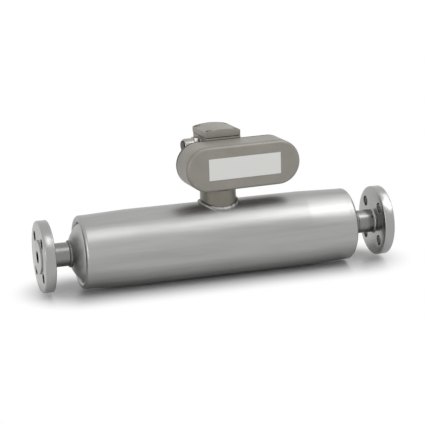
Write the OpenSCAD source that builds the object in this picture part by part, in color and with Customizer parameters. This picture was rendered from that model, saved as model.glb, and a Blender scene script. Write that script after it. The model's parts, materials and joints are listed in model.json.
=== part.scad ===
// Straight-tube coriolis flow meter with flanges and a side-on converter housing.
// The inlet's sealing face is at x = 0 on the pipe axis, flow runs along +X and +Z is up.

/* [Pipe connections] */
// Length over the two raised sealing faces
face_to_face = 488; // [470:1:560]
// Bore of the flanges and their necks
flange_bore_d = 16; // [15.5:0.5:20]
// Outside diameter of the flange discs
flange_d = 95; // [92:1:105]
// Thickness of a flange disc without its raised face
flange_t = 14; // [12:0.5:18]
// Diameter of the raised sealing face
raised_face_d = 45; // [40:1:48]
// Height of the raised sealing face
raised_face_h = 2; // [1:0.5:3]
// Diameter of the circle through the bolt holes
bolt_circle_d = 65; // [63:0.5:70]
// Diameter of a bolt hole
bolt_hole_d = 14; // [11:0.5:15]
// Bolt holes in each flange
bolt_count = 4; // [4:4:8]
// Chamfer on the edges of the flange discs
flange_chamfer = 1; // [0.5:0.5:2]
// Outside diameter of the flange necks
neck_d = 31.6; // [28:0.2:35]
// Radius where a neck runs into its flange
neck_fillet_r = 3; // [1:0.5:4]

/* [Sensor body] */
// Outside diameter of the shell in the middle
shell_d = 101.6; // [98:0.2:114]
// Wall of the shell
shell_wall = 3; // [2:0.5:4]
// Outside diameter of the shell's drawn-in ends
shell_end_d = 97.6; // [94:0.2:99.8]
// Length of each drawn-in end
drawn_l = 56; // [40:1:80]
// Distance from a sealing face to the outer rim of the body
rim_x = 55.2; // [50:0.2:66]
// Radius of the rolled rim
rim_r = 4.6; // [3.5:0.1:5.5]
// Width of an end ring along the shell
ring_w = 10.8; // [9:0.2:14]
// Radius of the sphere that the end dome is part of
dome_r = 51; // [50:1:70]
// Depth of the dome's edge below the crest of the rim
dome_recess = 4.2; // [3:0.1:4.5]
// Wall of the end dome
dome_wall = 4; // [3:0.5:5]
// Radius of the weld bead between neck and dome
neck_weld = 2.6; // [1.5:0.1:3]

/* [Measuring system] */
// Inside diameter of the measuring tube
tube_bore_d = 15; // [10:0.5:15]
// Wall of the measuring tube
tube_wall = 1.2; // [0.8:0.1:1.6]
// Outside diameter of the support tube
support_d = 60.3; // [57:0.1:66]
// Wall of the support tube
support_wall = 2.9; // [2:0.1:3.6]
// Distance between the end ring and the bulkhead ring
bulkhead_gap = 4; // [3:0.5:12]
// Thickness of a bulkhead ring
bulkhead_t = 10; // [6:0.5:14]
// Distance of each pick-up from mid length
pickup_offset = 100; // [70:1:112]
// Outside diameter of the drive coil
drive_coil_d = 18; // [16:0.5:20]
// Outside diameter of a pick-up coil
pickup_coil_d = 14; // [13:0.5:18]
// Height of a coil
coil_h = 7.5; // [5:0.5:8]
// Diameter of a magnet
magnet_d = 6; // [4:0.5:7]
// Height of a magnet
magnet_h = 8; // [7:0.5:9]
// Gap between a magnet and its coil
magnet_gap = 0.8; // [0.5:0.1:1]
// Width of the clip that holds a magnet on the tube
clip_w = 10; // [8:0.5:14]
// Wall of the magnet clip
clip_wall = 2.5; // [1.5:0.1:3]
// Diameter of the sensor harness
harness_d = 3.2; // [2:0.1:4]
// Diameter of a coil's own wires
coil_wire_d = 2; // [1.5:0.1:2.4]

/* [Stem] */
// Outside diameter of the stem
stem_d = 48.3; // [44:0.1:52]
// Wall of the stem
stem_wall = 3.2; // [2.5:0.1:4]
// Distance of the stem from mid length, towards the outlet
stem_offset = 5; // [-20:1:20]
// Width of the weld round the stem's foot
foot_weld = 3.2; // [2:0.1:4]
// Diameter of the spigot that the converter turns on
spigot_d = 28; // [24:0.5:29]
// Wall of the spigot
spigot_wall = 3; // [2:0.1:4]
// Height of the spigot above the stem's shoulder
spigot_h = 16; // [14:0.5:20]
// Radial running gap between spigot and housing
swivel_gap = 0.05; // [0.02:0.01:0.1]
// Gap between the stem's shoulder and the housing
shoulder_gap = 0.2; // [0.1:0.1:0.4]
// Diameter of the ring nut on the spigot
ring_nut_d = 37; // [34:0.5:37.5]
// Height of the ring nut
ring_nut_h = 5; // [4:0.5:6]
// Thickness of the O-ring on the spigot
o_ring_d = 1.6; // [1.2:0.1:2]
// Thickness of the feedthrough header
header_t = 4; // [3:0.5:6]

/* [Converter housing] */
// Turn of the converter about the stem, from in line with the pipe
converter_turn = 3.5; // [-90:0.5:90]
// Height of the housing's underside above the pipe axis
housing_z = 69.6; // [64:0.2:90]
// Overall length of the housing
housing_l = 161; // [155:1:180]
// Overall height of the housing
housing_h = 60; // [58:1:66]
// Depth of the housing can
housing_depth = 42; // [41:0.5:49]
// Distance of the front face before the stem's axis
front_y = 26; // [25:0.5:28]
// Distance of the housing's middle beyond the stem's axis
housing_shift = 29.4; // [28:0.2:36]
// Wall of the housing can
housing_wall = 3; // [2:0.5:4]
// Radius of the housing's front edge
front_edge_r = 3.8; // [2:0.2:5]
// Height of the boss inside the housing round the spigot
socket_h = 6.5; // [5:0.5:8]
// Thickness of the housing gasket
gasket_t = 3; // [1:0.1:3.5]
// Width of the joint line round the housing
joint_w = 1.2; // [0.6:0.1:1.6]
// Depth of the joint line round the housing
joint_depth = 1.2; // [0.4:0.1:1.4]
// Thickness of the rear plate
plate_t = 5; // [4:0.5:7]
// Step from the housing's outline in to the rear plate
plate_inset = 1; // [0.5:0.1:2]
// Radius of the rear plate's outer edge
plate_edge_r = 2; // [1:0.5:3]
// Length of the label plate
label_l = 102.5; // [90:0.5:104]
// Height of the label plate
label_h = 29; // [20:0.5:36]
// Thickness of the label plate
label_t = 0.5; // [0.3:0.1:1]
// Diameter of the rear cover screws
cover_screw_d = 4; // [3:0.5:5]

/* [Terminal box] */
// Width of the terminal lid along the housing
lid_w = 50.4; // [48:0.2:54]
// Length of the terminal lid away from the housing
lid_l = 55; // [52:0.5:60]
// Height of the lid at its sides
lid_side_h = 6.8; // [6.5:0.1:9]
// Rise of the lid's arched top above its sides
lid_rise = 3.4; // [1:0.1:4]
// Distance that the lid stands out over the box
lid_overhang = 0.6; // [0.4:0.1:1.2]
// Thickness of the lid gasket
lid_gasket_t = 1; // [0.5:0.1:2]
// Distance from the stem's axis to the middle of the terminal box
box_shift = 19.8; // [16:0.2:30]
// Height of the box from its underside to its rim
box_h = 33.5; // [32:0.5:37]
// Height of the box's rim above the top of the housing
rim_above_can = 1.6; // [0:0.1:3]
// Wall of the box
box_wall = 3; // [2.5:0.1:3.5]
// Floor of the box
floor_t = 4; // [3:0.5:5]
// Radius of the upright corners of box and lid
corner_r = 3; // [1:0.5:4]
// Distance between the lid screws along the housing
lid_screw_pitch_x = 39; // [37:0.5:39.5]
// Distance between the lid screws away from the housing
lid_screw_pitch_y = 43; // [41:0.5:44]
// Diameter of the lid screws
lid_screw_d = 4; // [3:0.5:4.5]
// Poles of the terminal block
pole_count = 6; // [4:1:7]
// Distance between two poles
pole_pitch = 5; // [4.5:0.1:5.2]

/* [Cable gland] */
// Thread diameter of the gland
gland_thread_d = 16; // [12:0.5:18]
// Size across the flats of the gland body
gland_flats = 20; // [19:0.5:21.5]
// Thickness of the gland body's hexagon
gland_hex_t = 6; // [4:0.5:8]
// Outside diameter of the dome nut
dome_nut_d = 19; // [18:0.5:20]
// Length of the dome nut
dome_nut_l = 14; // [11:0.5:16]
// Largest cable diameter, which is the bore of the dome nut
cable_d = 10; // [6:0.5:11]

/* [Hidden] */
$fn = 96;
eps = 0.01;
screw_clearance = 0.3;

mid_x = face_to_face / 2;
flange_back_x = raised_face_h + flange_t;
neck_r = neck_d / 2;
shell_r = shell_d / 2;
shell_end_r = shell_end_d / 2;
shell_x = rim_x + ring_w;
rim_bore_r = shell_end_r - 2 * rim_r;
dome_centre_x = rim_x + dome_recess + sqrt(pow(dome_r, 2) - pow(rim_bore_r, 2));
dome_x = dome_centre_x - sqrt(pow(dome_r, 2) - pow(neck_r, 2));
bulkhead_x = shell_x + bulkhead_gap;
neck_end_x = bulkhead_x + bulkhead_t;
support_r = support_d / 2;
support_bore_r = support_r - support_wall;
tube_r = tube_bore_d / 2 + tube_wall;

// Heights of the coil stations above the pipe axis
coil_top_z = support_bore_r - 3.6;
coil_z = coil_top_z - coil_h;
magnet_top_z = coil_top_z - 1.5;
magnet_z = magnet_top_z - magnet_h;
harness_z = support_r + harness_d / 2;

stem_x = mid_x + stem_offset;
stem_r = stem_d / 2;
stem_bore_r = stem_r - stem_wall;
shoulder_z = housing_z - shoulder_gap;
spigot_r = spigot_d / 2;
spigot_top_z = shoulder_z + spigot_h;
header_top_z = shoulder_z - 6;
o_ring_z = housing_z + socket_h / 2;
ring_nut_z = housing_z + socket_h + 0.3;

// The housing's own frame has its origin on the stem's axis, x along the can
can_r = housing_h / 2;
can_half = housing_l / 2 - can_r;
can_z = housing_z + can_r;
can_front = -front_y;
can_back = can_front + housing_depth;
can_inner_front = can_front + housing_wall;
joint_y = can_front + front_edge_r + 0.7;
plate_front = can_back + gasket_t;
plate_back = plate_front + plate_t;
cover_post_r = cover_screw_d / 2 + 2.2;
post_dz = can_r - housing_wall - cover_post_r + 0.8;

box_w = lid_w - 2 * lid_overhang;
cover_screw_gap = 6.3;
cover_screw_spots = [
  [housing_shift - can_half - post_dz, can_z],
  [housing_shift + can_half + post_dz, can_z],
  [box_shift - box_w / 2 - cover_screw_gap, can_z + post_dz],
  [housing_shift + can_half - 10, can_z + post_dz],
  [housing_shift + can_half - 10, can_z - post_dz],
  [ring_nut_d / 2 + cover_post_r + 2, can_z - post_dz]
];
box_l = lid_l - lid_overhang;
box_back = plate_back + box_l;
box_rim_z = housing_z + housing_h + rim_above_can;
box_z = box_rim_z - box_h;
box_floor_z = box_z + floor_t;
lid_z = box_rim_z + lid_gasket_t;
lid_mid_y = plate_back + lid_l / 2;
lid_screw_r = lid_screw_d / 2;
lid_head_r = lid_screw_d * 0.875;
lid_seat_z = lid_z + lid_side_h - lid_screw_d - 1;
lid_post_r = lid_screw_r + 2.5;
lid_screw_l = 12;
block_w = pole_count * pole_pitch + 4;
block_l = 16;
block_h = 15;
block_front = lid_mid_y - lid_screw_pitch_y / 2 + lid_post_r + 0.5;
lead_d = 3.2;
lead_x = box_shift + 6;
lead_z = box_floor_z + 5;

gland_y = plate_back + box_l / 2;
gland_z = box_rim_z - gland_boss_r() - 0.1;
gland_boss_h = 3;
gland_x = box_shift - box_w / 2 - gland_boss_h;
gland_washer_t = 1;
gland_hex_x = gland_x - gland_washer_t;
gland_nut_x = gland_hex_x - gland_hex_t;
gland_end_x = gland_nut_x - dome_nut_l;
function gland_boss_r() = gland_flats / 2 / cos(30) + 0.4;

board_l = 68;
board_h = 34;
board_t = 1.6;
board_x = ring_nut_d / 2 + 5;
board_gap = 10;
board_y = can_inner_front + board_gap;
power_board_y = board_y + board_t + board_gap;
board_hole_inset = 4;
board_screw_r = 1.25;
board_spots = [for (x = [board_x + board_hole_inset, board_x + board_l - board_hole_inset],
                    z = [-1, 1]) [x, can_z + z * (board_h / 2 - board_hole_inset)]];

steel = "silver";
machined = "gainsboro";
grey_beige = [0.53, 0.52, 0.49];
copper = "peru";

// ---------- shared helpers ----------

// Revolves a profile drawn as [radius, x] about the pipe axis
module turned() {
  rotate([0, 90, 0]) rotate_extrude() children();
}

// A piece drawn at the inlet is turned round to the outlet
module at_outlet() {
  translate([face_to_face, 0, 0]) mirror([1, 0, 0]) children();
}

// A round bar along the pipe
module bar_x(x0, x1, r) {
  translate([x0, 0, 0]) rotate([0, 90, 0]) cylinder(r = r, h = x1 - x0);
}

// A round bar from front to back
module bar_y(x, z, y0, y1, r) {
  translate([x, y0, z]) rotate([-90, 0, 0]) cylinder(r = r, h = y1 - y0);
}

// Moves a piece from the converter's own frame to its place on the stem
module on_stem() {
  translate([stem_x, 0, 0]) rotate([0, 0, converter_turn]) children();
}

// Extrudes an outline drawn in x and z from front to back
module along_y(y0, y1) {
  translate([0, y1, 0]) rotate([90, 0, 0]) linear_extrude(height = y1 - y0) children();
}

// Racetrack outline in x and z, centred on the housing
module racetrack(r) {
  translate([housing_shift, can_z]) {
    square([2 * can_half, 2 * r], center = true);
    for (s = [-1, 1]) translate([s * can_half, 0]) circle(r = r);
  }
}

// Half section of a racetrack slab with one rounded edge, the edge at depth 0
module edge_section(r, depth, edge) {
  square([r - edge, depth]);
  translate([0, edge]) square([r, depth - edge]);
  translate([r - edge, edge]) circle(r = edge);
}

// Racetrack slab from y = 0 back to its depth, with a rounded front edge
module rounded_slab(r, depth, edge) {
  translate([housing_shift, 0, can_z]) {
    translate([can_half, 0, 0]) rotate([0, -90, 0]) linear_extrude(height = 2 * can_half) {
      edge_section(r, depth, edge);
      mirror([1, 0]) edge_section(r, depth, edge);
    }
    for (s = [0, 1]) mirror([s, 0, 0]) translate([can_half, 0, 0])
      rotate([-90, 0, 0]) rotate([0, 0, -90]) rotate_extrude(angle = 180)
        edge_section(r, depth, edge);
  }
}

// Upright block with rounded corners, given by its middle and its size
module corner_block(mid, size, r, z0, z1) {
  translate([mid[0], mid[1], z0]) linear_extrude(height = z1 - z0) {
    square([size[0] - 2 * r, size[1]], center = true);
    square([size[0], size[1] - 2 * r], center = true);
    for (x = [-1, 1], y = [-1, 1])
      translate([x * (size[0] / 2 - r), y * (size[1] / 2 - r)]) circle(r = r);
  }
}

module lid_screw_places() {
  for (x = [-1, 1], y = [-1, 1])
    translate([box_shift + x * lid_screw_pitch_x / 2, lid_mid_y + y * lid_screw_pitch_y / 2, 0])
      children();
}

// ---------- sensor ----------

// Flange with raised face and neck, turned from one forging
module flange() {
  color(machined) difference() {
    turned() difference() {
      union() {
        square([raised_face_d / 2, flange_back_x]);
        polygon([
          [0, raised_face_h],
          [flange_d / 2 - flange_chamfer, raised_face_h],
          [flange_d / 2, raised_face_h + flange_chamfer],
          [flange_d / 2, flange_back_x - flange_chamfer],
          [flange_d / 2 - flange_chamfer, flange_back_x],
          [0, flange_back_x]
        ]);
        square([neck_r, neck_end_x]);
        square([neck_r + neck_fillet_r, flange_back_x + neck_fillet_r]);
      }
      translate([neck_r + neck_fillet_r, flange_back_x + neck_fillet_r]) circle(r = neck_fillet_r);
    }
    bar_x(-1, neck_end_x + 1, flange_bore_d / 2);
    for (i = [0 : bolt_count - 1])
      rotate([(i + 0.5) * 360 / bolt_count, 0, 0]) translate([0, bolt_circle_d / 2, 0])
        bar_x(raised_face_h - 1, flange_back_x + 1, bolt_hole_d / 2);
  }
}
module inlet_flange() { flange(); }
module outlet_flange() { at_outlet() flange(); }

// Bead in the corner between neck and dome
module neck_bead() {
  color(steel) turned() difference() {
    translate([neck_r, dome_x]) circle(r = neck_weld);
    translate([0, dome_x - 2 * neck_weld]) square([neck_r, 4 * neck_weld]);
    translate([0, dome_centre_x]) circle(r = dome_r);
  }
}
module inlet_neck_weld() { neck_bead(); }
module outlet_neck_weld() { at_outlet() neck_bead(); }

// Dished plate between the neck and the rim, cut from a hollow sphere
module end_dome() {
  color(steel) turned() difference() {
    intersection() {
      translate([0, dome_centre_x]) circle(r = dome_r);
      translate([neck_r, 0]) square([rim_bore_r - neck_r, dome_centre_x]);
    }
    translate([0, dome_centre_x]) circle(r = dome_r - dome_wall);
  }
}
module inlet_end_dome() { end_dome(); }
module outlet_end_dome() { at_outlet() end_dome(); }

// Ring with a rolled rim between dome and shell
module end_ring() {
  color(steel) turned() {
    translate([shell_end_r - rim_r, rim_x + rim_r]) circle(r = rim_r);
    translate([rim_bore_r, rim_x + rim_r]) square([2 * rim_r, ring_w - rim_r]);
  }
}
module inlet_end_ring() { end_ring(); }
module outlet_end_ring() { at_outlet() end_ring(); }

module outer_shell() {
  far_x = face_to_face - shell_x;
  color(steel) difference() {
    turned() polygon([
      [shell_end_r - shell_wall, shell_x],
      [shell_end_r, shell_x],
      [shell_r, shell_x + drawn_l],
      [shell_r, far_x - drawn_l],
      [shell_end_r, far_x],
      [shell_end_r - shell_wall, far_x],
      [shell_r - shell_wall, far_x - drawn_l],
      [shell_r - shell_wall, shell_x + drawn_l]
    ]);
    translate([stem_x, 0, 0]) cylinder(r = stem_bore_r - 2, h = shell_r + 1);
  }
}

module bulkhead() {
  color(machined) turned()
    translate([neck_r, bulkhead_x]) square([support_bore_r - neck_r, bulkhead_t]);
}
module inlet_bulkhead() { bulkhead(); }
module outlet_bulkhead() { at_outlet() bulkhead(); }

module support_tube() {
  color(steel) difference() {
    turned() translate([support_bore_r, bulkhead_x])
      square([support_wall, face_to_face - 2 * bulkhead_x]);
    for (s = [-1, 0, 1]) translate([wire_x(s), 0, 0])
      cylinder(r = coil_wire_d / 2 + screw_clearance, h = support_r + 1);
  }
}

module measuring_tube() {
  color(machined) turned() translate([tube_bore_d / 2, neck_end_x])
    square([tube_wall, face_to_face - 2 * neck_end_x]);
}

// ---------- coil stations: -1 at the inlet, 0 for the drive, 1 at the outlet ----------

function station_x(s) = mid_x + s * pickup_offset;
function station_coil_d(s) = s == 0 ? drive_coil_d : pickup_coil_d;
function coil_bore_r() = magnet_d / 2 + magnet_gap;
function wire_x(s) = station_x(s) + (station_coil_d(s) / 2 + coil_bore_r()) / 2;

module magnet_clip(s) {
  color(machined) difference() {
    union() {
      bar_x(station_x(s) - clip_w / 2, station_x(s) + clip_w / 2, tube_r + clip_wall);
      translate([station_x(s), 0, 0]) cylinder(r = magnet_d / 2, h = magnet_z);
    }
    bar_x(station_x(s) - clip_w, station_x(s) + clip_w, tube_r);
  }
}

module magnet(s) {
  color("dimgray") translate([station_x(s), 0, magnet_z]) cylinder(r = magnet_d / 2, h = magnet_h);
}

// Bobbin with its winding between two cheeks
module coil(s) {
  cheek = 0.8;
  r = station_coil_d(s) / 2;
  color(copper) translate([station_x(s), 0, coil_z]) rotate_extrude() difference() {
    translate([coil_bore_r(), 0]) square([r - coil_bore_r(), coil_h]);
    translate([r - 0.5, cheek]) square([1, coil_h - 2 * cheek]);
  }
}

// Foot between the coil and the inside of the support tube
module coil_bracket(s) {
  color(steel) difference() {
    intersection() {
      translate([station_x(s), 0, coil_top_z]) cylinder(r = station_coil_d(s) / 2, h = support_r);
      bar_x(station_x(s) - drive_coil_d, station_x(s) + drive_coil_d, support_bore_r);
    }
    translate([wire_x(s), 0, 0]) cylinder(r = coil_wire_d / 2 + screw_clearance, h = support_r);
  }
}

module drive_magnet_clip() { magnet_clip(0); }
module drive_magnet() { magnet(0); }
module drive_coil() { coil(0); }
module drive_coil_bracket() { coil_bracket(0); }
module inlet_magnet_clip() { magnet_clip(-1); }
module inlet_magnet() { magnet(-1); }
module inlet_pickup_coil() { coil(-1); }
module inlet_coil_bracket() { coil_bracket(-1); }
module outlet_magnet_clip() { magnet_clip(1); }
module outlet_magnet() { magnet(1); }
module outlet_pickup_coil() { coil(1); }
module outlet_coil_bracket() { coil_bracket(1); }

// Flat resistance sensor bonded under a tube of the given radius
module temperature_sensor(x, r) {
  size = [14, 6, 3];
  color("ivory") difference() {
    translate([x - size[0] / 2, -size[1] / 2, -r - size[2]]) cube([size[0], size[1], size[2] + 1]);
    bar_x(x - size[0], x + size[0], r);
  }
}
module tube_temperature_sensor() { temperature_sensor(neck_end_x + 20, tube_r); }
module support_temperature_sensor() { temperature_sensor(neck_end_x + 20, support_r); }

// Harness along the support tube, with a branch to each coil and a riser up the stem
module sensor_harness() {
  color("darkslategray") {
    translate([0, 0, harness_z]) bar_x(station_x(-1), wire_x(1) + harness_d / 2, harness_d / 2);
    for (s = [-1, 0, 1]) translate([wire_x(s), 0, coil_top_z])
      cylinder(r = coil_wire_d / 2, h = harness_z - coil_top_z);
    translate([stem_x, 0, harness_z])
      cylinder(r = harness_d / 2, h = header_top_z - header_t - harness_z);
  }
}

// ---------- stem ----------

// Stem tube with its foot cut to the shell and the grooved spigot on top
module stem() {
  color(grey_beige) difference() {
    translate([stem_x, 0, 0]) union() {
      cylinder(r = stem_r, h = shoulder_z);
      cylinder(r = spigot_r, h = spigot_top_z);
    }
    bar_x(stem_x - stem_d, stem_x + stem_d, shell_r);
    translate([stem_x, 0, 0]) cylinder(r = stem_bore_r, h = header_top_z);
    translate([stem_x, 0, 0]) cylinder(r = spigot_r - spigot_wall, h = spigot_top_z + 1);
    translate([stem_x, 0, o_ring_z]) rotate_extrude()
      translate([spigot_r - o_ring_d - 0.1, -o_ring_d / 2 - 0.1])
        square([o_ring_d + 1, o_ring_d + 0.2]);
  }
}

// Weld bead that follows the saddle between stem and shell
module stem_weld() {
  color(steel) difference() {
    intersection() {
      translate([stem_x, 0, 0]) cylinder(r1 = stem_r + foot_weld + 12, r2 = stem_r,
                                         h = shell_r + foot_weld);
      bar_x(stem_x - stem_d, stem_x + stem_d, shell_r + foot_weld * 0.75);
      translate([stem_x, 0, 0]) cylinder(r = stem_r + foot_weld, h = shell_r + foot_weld);
    }
    bar_x(stem_x - 2 * stem_d, stem_x + 2 * stem_d, shell_r);
    translate([stem_x, 0, -1]) cylinder(r = stem_r, h = shell_d);
  }
}

// Glass-sealed header under the step in the stem, with its pins
module feedthrough_header() {
  pin_count = 6;
  color(machined) translate([stem_x, 0, header_top_z - header_t]) {
    cylinder(r = stem_bore_r, h = header_t);
    for (i = [0 : pin_count - 1]) rotate([0, 0, i * 360 / pin_count])
      translate([spigot_r - spigot_wall - 4, 0, 0]) cylinder(r = 0.6, h = header_t + 4);
  }
}

module stem_o_ring() {
  color("black") translate([stem_x, 0, o_ring_z]) rotate_extrude()
    translate([spigot_r - o_ring_d / 2 + swivel_gap / 2, 0]) circle(r = o_ring_d / 2);
}

// Ring nut with four spanner slots
module stem_ring_nut() {
  slot_w = 5;
  color(machined) translate([stem_x, 0, ring_nut_z]) difference() {
    cylinder(r = ring_nut_d / 2, h = ring_nut_h);
    translate([0, 0, -1]) cylinder(r = spigot_r, h = ring_nut_h + 2);
    for (i = [0 : 3]) rotate([0, 0, i * 90 + 45])
      translate([ring_nut_d / 2 - 1.5, -slot_w / 2, -1]) cube([3, slot_w, ring_nut_h + 2]);
  }
}

// ---------- converter ----------

// Racetrack can, open at the back, with a joint line behind its front edge,
// and the swivel socket and the screw posts inside
module housing_can() {
  color(grey_beige) on_stem() difference() {
    translate([0, can_front, 0]) rounded_slab(can_r, housing_depth, front_edge_r);
    along_y(joint_y, joint_y + joint_w) difference() {
      racetrack(can_r + 1);
      racetrack(can_r - joint_depth);
    }
    difference() {
      along_y(can_inner_front, can_back + 1) racetrack(can_r - housing_wall);
      cylinder(r = spigot_r + 3.4, h = housing_z + socket_h);
      for (p = cover_screw_spots) bar_y(p[0], p[1], can_inner_front - 1, can_back + 2, cover_post_r);
    }
    translate([0, 0, housing_z - 1]) cylinder(r = spigot_r + swivel_gap, h = socket_h + 2);
    for (p = cover_screw_spots) bar_y(p[0], p[1], can_back - 14, can_back + 1, cover_screw_d / 2);
  }
}

module label_plate() {
  color("white") on_stem()
    translate([housing_shift + 0.6 - label_l / 2, can_front - label_t, can_z - label_h / 2])
      cube([label_l, label_t, label_h]);
}

module housing_gasket() {
  color("black") on_stem() along_y(can_back, plate_front) difference() {
    racetrack(can_r);
    racetrack(can_r - housing_wall);
  }
}

// Rear plate and terminal box in one casting
module rear_casting() {
  rib_t = 4;
  rib_l = box_l * 0.6;
  box_mid = [box_shift, plate_back + box_l / 2];
  color(grey_beige) on_stem() difference() {
    union() {
      translate([0, plate_back, 0]) mirror([0, 1, 0])
        rounded_slab(can_r - plate_inset, plate_t, plate_edge_r);
      difference() {
        union() {
          corner_block(box_mid - [0, 1], [box_w, box_l + 2], corner_r, box_z, box_rim_z);
          for (s = [-1, 1]) translate([box_shift + s * (box_w / 2 - 8) - rib_t / 2, plate_back - 1, 0])
            rotate([0, 90, 0]) mirror([1, 0, 0]) linear_extrude(height = rib_t) polygon([
              [box_z + 1, 0], [box_z + 1, rib_l], [box_z, rib_l], [can_z - can_r / 2, 3],
              [can_z - can_r / 2, 0]
            ]);
          translate([gland_x, gland_y, gland_z]) rotate([0, 90, 0])
            cylinder(r = gland_boss_r(), h = gland_boss_h + 1);
        }
        difference() {
          corner_block(box_mid, [box_w - 2 * box_wall, box_l - 2 * box_wall], 1.5,
                       box_floor_z, box_rim_z + 1);
          lid_screw_places() translate([0, 0, box_z]) cylinder(r = lid_post_r, h = box_h + 2);
        }
      }
      bar_y(box_shift, box_z + 12, box_back - 1, box_back + 2, 5);
    }
    lid_screw_places() translate([0, 0, box_rim_z - lid_screw_l - 2])
      cylinder(r = lid_screw_r + screw_clearance, h = lid_screw_l + 3);
    translate([gland_x - 1, gland_y, gland_z]) rotate([0, 90, 0])
      cylinder(r = gland_thread_d / 2, h = gland_boss_h + box_wall + 2);
    bar_y(lead_x, lead_z, plate_front - 1, plate_back + box_wall + 1, lead_d / 2 + 1.5);
    bar_y(box_shift, box_z + 12, box_back - 6, box_back + 3, 2);
    for (p = cover_screw_spots)
      bar_y(p[0], p[1], plate_front - 1, plate_back + 1, cover_screw_d / 2 + screw_clearance);
  }
}

// Pan-head screws through the rear plate into the can's posts
module rear_cover_screws() {
  color(machined) on_stem() for (p = cover_screw_spots) {
    bar_y(p[0], p[1], can_back - 12, plate_back, cover_screw_d / 2);
    bar_y(p[0], p[1], plate_back, plate_back + 2.4, cover_screw_d * 0.95);
  }
}

module board(y) {
  color("darkgreen") on_stem() difference() {
    union() {
      translate([board_x, y, can_z - board_h / 2]) cube([board_l, board_t, board_h]);
      translate([board_x + board_l * 0.35, y + board_t - 0.5, can_z - board_h * 0.24])
        cube([board_h * 0.47, 3.5, board_h * 0.47]);
      translate([board_x + board_l * 0.7, y + board_t - 0.5, can_z - board_h * 0.15])
        cube([board_l * 0.13, 4.5, board_h * 0.35]);
    }
    for (p = board_spots) bar_y(p[0], p[1], y - 1, y + board_t + 1, board_screw_r);
  }
}
module main_board() { board(board_y); }
module power_board() { board(power_board_y); }

// Two hexagonal standoffs in line at each corner of the boards
module board_standoffs() {
  color("goldenrod") on_stem() for (p = board_spots) {
    translate([p[0], can_inner_front, p[1]]) rotate([-90, 0, 0])
      cylinder(r = 2.9, h = board_gap, $fn = 6);
    bar_y(p[0], p[1], board_y - 1, board_y + board_t + 3, board_screw_r);
    difference() {
      translate([p[0], board_y + board_t, p[1]]) rotate([-90, 0, 0])
        cylinder(r = 2.9, h = board_gap, $fn = 6);
      bar_y(p[0], p[1], board_y, power_board_y + 1, board_screw_r);
    }
  }
}

module board_screws() {
  color(machined) on_stem() for (p = board_spots) {
    bar_y(p[0], p[1], power_board_y - 4, power_board_y + board_t, board_screw_r);
    bar_y(p[0], p[1], power_board_y + board_t, power_board_y + board_t + 2, board_screw_r * 2);
  }
}

// Lead from a plug on the main board down the axis of the spigot, so that the swivel only twists it
module sensor_lead() {
  r = lead_d / 2;
  y = board_y + board_t + 4;
  plug = [5, 6, 9];
  color("dimgray") on_stem() {
    translate([0, 0, header_top_z + 5]) cylinder(r = r, h = can_z - header_top_z - 5);
    translate([0, 0, can_z]) sphere(r = r);
    bar_y(0, can_z, y, 0, r);
    translate([0, y, can_z]) {
      sphere(r = r);
      bar_x(0, board_x + 4, r);
    }
    translate([board_x + 3, board_y + board_t, can_z - plug[2] / 2]) cube(plug);
  }
}

module terminal_lead() {
  color("dimgray") on_stem()
    bar_y(lead_x, lead_z, power_board_y + board_t, block_front, lead_d / 2);
}

// Stepped block with a wire funnel and a screw well for each pole
module terminal_block() {
  color("darkslategray") on_stem() difference() {
    translate([box_shift - block_w / 2, block_front, box_floor_z]) union() {
      cube([block_w, block_l, block_h - 4]);
      translate([0, 3, 0]) cube([block_w, block_l - 6, block_h]);
    }
    for (i = [0 : pole_count - 1]) translate([pole_x(i), 0, 0]) {
      translate([0, block_front + block_l / 2, box_floor_z + block_h - 5]) cylinder(r = 1.8, h = 6);
      bar_y(0, box_floor_z + 7, block_front + block_l - 7, block_front + block_l + 1, 1.4);
    }
  }
}
function pole_x(i) = box_shift + (i - (pole_count - 1) / 2) * pole_pitch;

module terminal_clamp_screws() {
  color(machined) on_stem() for (i = [0 : pole_count - 1])
    translate([pole_x(i), block_front + block_l / 2, box_floor_z + block_h - 5]) difference() {
      cylinder(r = 1.7, h = 3);
      translate([-2, -0.3, 2.2]) cube([4, 0.6, 1]);
    }
}

module earth_screw() {
  color(machined) on_stem() {
    bar_y(box_shift, box_z + 12, box_back - 5, box_back + 2, 2);
    bar_y(box_shift, box_z + 12, box_back + 2, box_back + 3, 4.8);
    bar_y(box_shift, box_z + 12, box_back + 3, box_back + 6, 3.8);
  }
}

// ---------- gland on the left side of the terminal box ----------

// Revolves a profile drawn as [radius, distance inwards] about the gland's axis
module gland_turned(x) {
  translate([x, gland_y, gland_z]) rotate([0, 90, 0]) rotate_extrude() children();
}

module gland_washer() {
  color("black") on_stem() gland_turned(gland_hex_x) translate([gland_thread_d / 2, 0])
    square([gland_flats / 2 - 0.4 - gland_thread_d / 2, gland_washer_t]);
}

module gland_body() {
  color("silver") on_stem() difference() {
    union() {
      translate([gland_nut_x, gland_y, gland_z]) rotate([0, 90, 0])
        rotate([0, 0, 30]) cylinder(d = gland_flats / cos(30), h = gland_hex_t, $fn = 6);
      translate([gland_nut_x - 6, gland_y, gland_z]) rotate([0, 90, 0])
        cylinder(r = dome_nut_d / 2 - 1.8, h = 7);
      translate([gland_nut_x, gland_y, gland_z]) rotate([0, 90, 0]) cylinder(
        r = gland_thread_d / 2, h = gland_hex_t + gland_washer_t + gland_boss_h + box_wall);
    }
    translate([gland_nut_x - 8, gland_y, gland_z]) rotate([0, 90, 0])
      cylinder(r = cable_d / 2, h = gland_hex_t + gland_boss_h + box_wall + 12);
  }
}

// Clamping insert between the body and the dome of the nut
module gland_seal() {
  color("black") on_stem() gland_turned(gland_end_x + 1.5)
    translate([cable_d / 2, 0]) square([dome_nut_d / 2 - 1.8 - cable_d / 2, dome_nut_l - 7.5]);
}

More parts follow.
